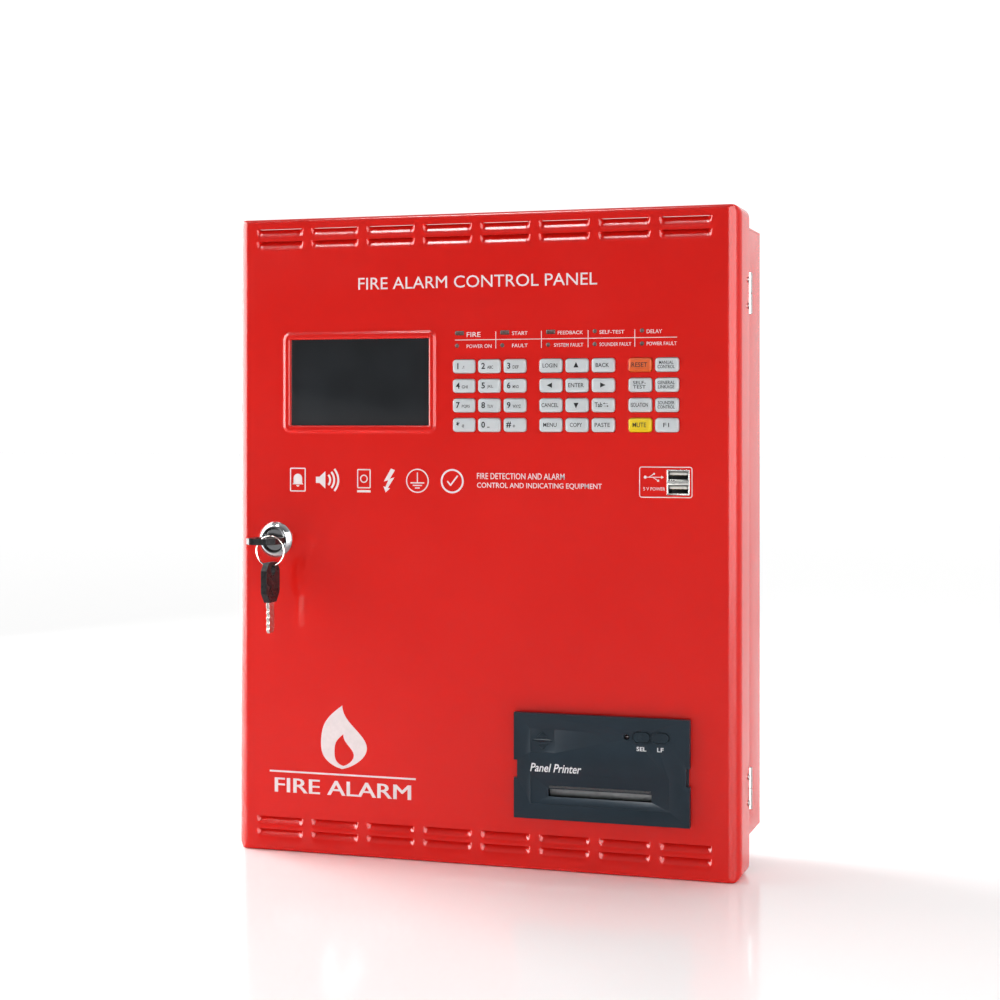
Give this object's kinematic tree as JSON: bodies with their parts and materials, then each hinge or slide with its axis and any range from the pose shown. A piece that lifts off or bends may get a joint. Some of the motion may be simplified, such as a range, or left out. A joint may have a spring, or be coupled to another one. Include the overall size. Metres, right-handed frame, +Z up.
{
  "type": "fire alarm control panel",
  "caption": "Wall-mounted fire alarm control panel with a hinged steel door, display, keypad, key lock, USB sockets and panel printer.",
  "frame": {"origin": "centre of the four wall fixing holes, on the wall plane", "axes": "+X to the right and +Z up as seen by a user facing the panel; +Y into the wall, so the door faces -Y"},
  "size_m": [0.3314, 0.1194, 0.408],
  "materials": {
    "cabinet_paint": "satin red powder coat",
    "door_paint": "smooth satin red powder coat",
    "hinge_steel": "bright zinc plate",
    "circuit_board": "green solder mask",
    "terminal_plastic": "moulded green plastic",
    "supply_steel": "plain zinc plated sheet",
    "battery_case": "moulded dark grey plastic",
    "bracket_steel": "zinc plated sheet",
    "display_glass": "dark glossy display front",
    "lamp_lens": "unlit diffusing lens",
    "socket_metal": "tin plated shell",
    "lock_chrome": "polished chrome plate",
    "lock_steel": "zinc plated",
    "key_steel": "nickel plated",
    "key_plastic": "moulded black plastic",
    "ring_steel": "nickel plated spring wire",
    "printer_body_plastic": "moulded slate grey plastic",
    "printer_front_plastic": "fine textured slate grey plastic",
    "printer_button_plastic": "moulded slate grey plastic",
    "paper": "thermal paper",
    "roller_rubber": "ground rubber",
    "keypad_silicone": "pale silicone keys"
  },
  "bodies": {
    "cabinet": {"box_back": "cabinet_paint", "box_top": "cabinet_paint", "box_foot": "cabinet_paint", "box_left": "cabinet_paint", "box_right": "cabinet_paint", "hinge_box_halves": "hinge_steel", "main_board": "circuit_board", "terminal_blocks": "terminal_plastic", "power_supply": "supply_steel", "batteries": "battery_case", "battery_bracket": "bracket_steel"},
    "door": {"door_cover": "door_paint", "hinge_door_halves": "hinge_steel", "display_panel": "display_glass", "display_board": "circuit_board", "indicator_lamps": "lamp_lens", "usb_socket": "socket_metal", "lock_barrel": "lock_chrome", "lock_nut": "lock_steel", "printer_case": "printer_body_plastic"},
    "lock_core": {"lock_plug": "lock_steel", "lock_cam": "lock_steel"},
    "door_key": {"key_blade": "key_steel", "key_head": "key_plastic"},
    "key_ring": {"key_ring": "ring_steel"},
    "spare_key": {"spare_key_blade": "key_steel", "spare_key_head": "key_plastic"},
    "printer_front": {"printer_cover": "printer_front_plastic"},
    "sel_button": {"printer_key_sel": "printer_button_plastic"},
    "lf_button": {"printer_key_lf": "printer_button_plastic"},
    "paper_roll": {"paper_roll": "paper"},
    "platen": {"platen_roller": "roller_rubber"},
    "key_1": {"key_1": "keypad_silicone"},
    "key_2": {"key_2": "keypad_silicone"},
    "key_3": {"key_3": "keypad_silicone"},
    "key_login": {"key_login": "keypad_silicone"},
    "key_up": {"key_up": "keypad_silicone"},
    "key_back": {"key_back": "keypad_silicone"},
    "key_reset": {"key_reset": "keypad_silicone"},
    "key_manual": {"key_manual": "keypad_silicone"},
    "key_4": {"key_4": "keypad_silicone"},
    "key_5": {"key_5": "keypad_silicone"},
    "key_6": {"key_6": "keypad_silicone"},
    "key_left": {"key_left": "keypad_silicone"},
    "key_enter": {"key_enter": "keypad_silicone"},
    "key_right": {"key_right": "keypad_silicone"},
    "key_self_test": {"key_self_test": "keypad_silicone"},
    "key_linkage": {"key_linkage": "keypad_silicone"},
    "key_7": {"key_7": "keypad_silicone"},
    "key_8": {"key_8": "keypad_silicone"},
    "key_9": {"key_9": "keypad_silicone"},
    "key_cancel": {"key_cancel": "keypad_silicone"},
    "key_down": {"key_down": "keypad_silicone"},
    "key_tab": {"key_tab": "keypad_silicone"},
    "key_isolate": {"key_isolate": "keypad_silicone"},
    "key_sounder": {"key_sounder": "keypad_silicone"},
    "key_star": {"key_star": "keypad_silicone"},
    "key_0": {"key_0": "keypad_silicone"},
    "key_hash": {"key_hash": "keypad_silicone"},
    "key_menu": {"key_menu": "keypad_silicone"},
    "key_copy": {"key_copy": "keypad_silicone"},
    "key_paste": {"key_paste": "keypad_silicone"},
    "key_mute": {"key_mute": "keypad_silicone"},
    "key_f1": {"key_f1": "keypad_silicone"}
  },
  "joints": [
    {"name": "door_hinge", "type": "hinge", "parent": "cabinet", "child": "door", "pos_m": [0.1642, -0.0526, -0.005], "axis": [0, 0, 1], "range_deg": [0, 120]},
    {"name": "lock_turn", "type": "hinge", "parent": "door", "child": "lock_core", "pos_m": [-0.1374, -0.086, -0.0079], "axis": [0, 1, 0], "range_deg": [0, 90]},
    {"name": "key_pull", "type": "slide", "parent": "lock_core", "child": "door_key", "axis": [0, -1, 0], "range_m": [0, 0.022]},
    {"name": "ring_swing", "type": "hinge", "parent": "door_key", "child": "key_ring", "pos_m": [-0.1308, -0.1094, -0.00432], "axis": [1, 0, 0], "range_deg": [-8, 8]},
    {"name": "spare_key_swing", "type": "hinge", "parent": "key_ring", "child": "spare_key", "pos_m": [-0.1308, -0.1094, -0.02332], "axis": [1, 0, 0], "range_deg": [-25, 14]},
    {"name": "printer_front_hinge", "type": "hinge", "parent": "door", "child": "printer_front", "pos_m": [0.0801, -0.0885, -0.175], "axis": [1, 0, 0], "range_deg": [0, 80]},
    {"name": "sel_press", "type": "slide", "parent": "printer_front", "child": "sel_button", "axis": [0, 1, 0], "range_m": [0, 0.0006], "stiffness_N_per_m": 500},
    {"name": "lf_press", "type": "slide", "parent": "printer_front", "child": "lf_button", "axis": [0, 1, 0], "range_m": [0, 0.0006], "stiffness_N_per_m": 500},
    {"name": "paper_roll_spin", "type": "hinge", "parent": "door", "child": "paper_roll", "pos_m": [0.0801, -0.059, -0.1352], "axis": [1, 0, 0], "continuous": true},
    {"name": "platen_spin", "type": "hinge", "parent": "printer_front", "child": "platen", "pos_m": [0.0801, -0.082, -0.1596], "axis": [1, 0, 0], "continuous": true},
    {"name": "key_1_press", "type": "slide", "parent": "door", "child": "key_1", "axis": [0, 1, 0], "range_m": [0, 0.001], "stiffness_N_per_m": 600},
    {"name": "key_2_press", "type": "slide", "parent": "door", "child": "key_2", "axis": [0, 1, 0], "range_m": [0, 0.001], "stiffness_N_per_m": 600},
    {"name": "key_3_press", "type": "slide", "parent": "door", "child": "key_3", "axis": [0, 1, 0], "range_m": [0, 0.001], "stiffness_N_per_m": 600},
    {"name": "key_login_press", "type": "slide", "parent": "door", "child": "key_login", "axis": [0, 1, 0], "range_m": [0, 0.001], "stiffness_N_per_m": 600},
    {"name": "key_up_press", "type": "slide", "parent": "door", "child": "key_up", "axis": [0, 1, 0], "range_m": [0, 0.001], "stiffness_N_per_m": 600},
    {"name": "key_back_press", "type": "slide", "parent": "door", "child": "key_back", "axis": [0, 1, 0], "range_m": [0, 0.001], "stiffness_N_per_m": 600},
    {"name": "key_reset_press", "type": "slide", "parent": "door", "child": "key_reset", "axis": [0, 1, 0], "range_m": [0, 0.001], "stiffness_N_per_m": 600},
    {"name": "key_manual_press", "type": "slide", "parent": "door", "child": "key_manual", "axis": [0, 1, 0], "range_m": [0, 0.001], "stiffness_N_per_m": 600},
    {"name": "key_4_press", "type": "slide", "parent": "door", "child": "key_4", "axis": [0, 1, 0], "range_m": [0, 0.001], "stiffness_N_per_m": 600},
    {"name": "key_5_press", "type": "slide", "parent": "door", "child": "key_5", "axis": [0, 1, 0], "range_m": [0, 0.001], "stiffness_N_per_m": 600},
    {"name": "key_6_press", "type": "slide", "parent": "door", "child": "key_6", "axis": [0, 1, 0], "range_m": [0, 0.001], "stiffness_N_per_m": 600},
    {"name": "key_left_press", "type": "slide", "parent": "door", "child": "key_left", "axis": [0, 1, 0], "range_m": [0, 0.001], "stiffness_N_per_m": 600},
    {"name": "key_enter_press", "type": "slide", "parent": "door", "child": "key_enter", "axis": [0, 1, 0], "range_m": [0, 0.001], "stiffness_N_per_m": 600},
    {"name": "key_right_press", "type": "slide", "parent": "door", "child": "key_right", "axis": [0, 1, 0], "range_m": [0, 0.001], "stiffness_N_per_m": 600},
    {"name": "key_self_test_press", "type": "slide", "parent": "door", "child": "key_self_test", "axis": [0, 1, 0], "range_m": [0, 0.001], "stiffness_N_per_m": 600},
    {"name": "key_linkage_press", "type": "slide", "parent": "door", "child": "key_linkage", "axis": [0, 1, 0], "range_m": [0, 0.001], "stiffness_N_per_m": 600},
    {"name": "key_7_press", "type": "slide", "parent": "door", "child": "key_7", "axis": [0, 1, 0], "range_m": [0, 0.001], "stiffness_N_per_m": 600},
    {"name": "key_8_press", "type": "slide", "parent": "door", "child": "key_8", "axis": [0, 1, 0], "range_m": [0, 0.001], "stiffness_N_per_m": 600},
    {"name": "key_9_press", "type": "slide", "parent": "door", "child": "key_9", "axis": [0, 1, 0], "range_m": [0, 0.001], "stiffness_N_per_m": 600},
    {"name": "key_cancel_press", "type": "slide", "parent": "door", "child": "key_cancel", "axis": [0, 1, 0], "range_m": [0, 0.001], "stiffness_N_per_m": 600},
    {"name": "key_down_press", "type": "slide", "parent": "door", "child": "key_down", "axis": [0, 1, 0], "range_m": [0, 0.001], "stiffness_N_per_m": 600},
    {"name": "key_tab_press", "type": "slide", "parent": "door", "child": "key_tab", "axis": [0, 1, 0], "range_m": [0, 0.001], "stiffness_N_per_m": 600},
    {"name": "key_isolate_press", "type": "slide", "parent": "door", "child": "key_isolate", "axis": [0, 1, 0], "range_m": [0, 0.001], "stiffness_N_per_m": 600},
    {"name": "key_sounder_press", "type": "slide", "parent": "door", "child": "key_sounder", "axis": [0, 1, 0], "range_m": [0, 0.001], "stiffness_N_per_m": 600},
    {"name": "key_star_press", "type": "slide", "parent": "door", "child": "key_star", "axis": [0, 1, 0], "range_m": [0, 0.001], "stiffness_N_per_m": 600},
    {"name": "key_0_press", "type": "slide", "parent": "door", "child": "key_0", "axis": [0, 1, 0], "range_m": [0, 0.001], "stiffness_N_per_m": 600},
    {"name": "key_hash_press", "type": "slide", "parent": "door", "child": "key_hash", "axis": [0, 1, 0], "range_m": [0, 0.001], "stiffness_N_per_m": 600},
    {"name": "key_menu_press", "type": "slide", "parent": "door", "child": "key_menu", "axis": [0, 1, 0], "range_m": [0, 0.001], "stiffness_N_per_m": 600},
    {"name": "key_copy_press", "type": "slide", "parent": "door", "child": "key_copy", "axis": [0, 1, 0], "range_m": [0, 0.001], "stiffness_N_per_m": 600},
    {"name": "key_paste_press", "type": "slide", "parent": "door", "child": "key_paste", "axis": [0, 1, 0], "range_m": [0, 0.001], "stiffness_N_per_m": 600},
    {"name": "key_mute_press", "type": "slide", "parent": "door", "child": "key_mute", "axis": [0, 1, 0], "range_m": [0, 0.001], "stiffness_N_per_m": 600},
    {"name": "key_f1_press", "type": "slide", "parent": "door", "child": "key_f1", "axis": [0, 1, 0], "range_m": [0, 0.001], "stiffness_N_per_m": 600}
  ],
  "couplings": [
    {"joint": "platen_spin", "follows": "paper_roll_spin", "ratio": 4.2105}
  ]
}
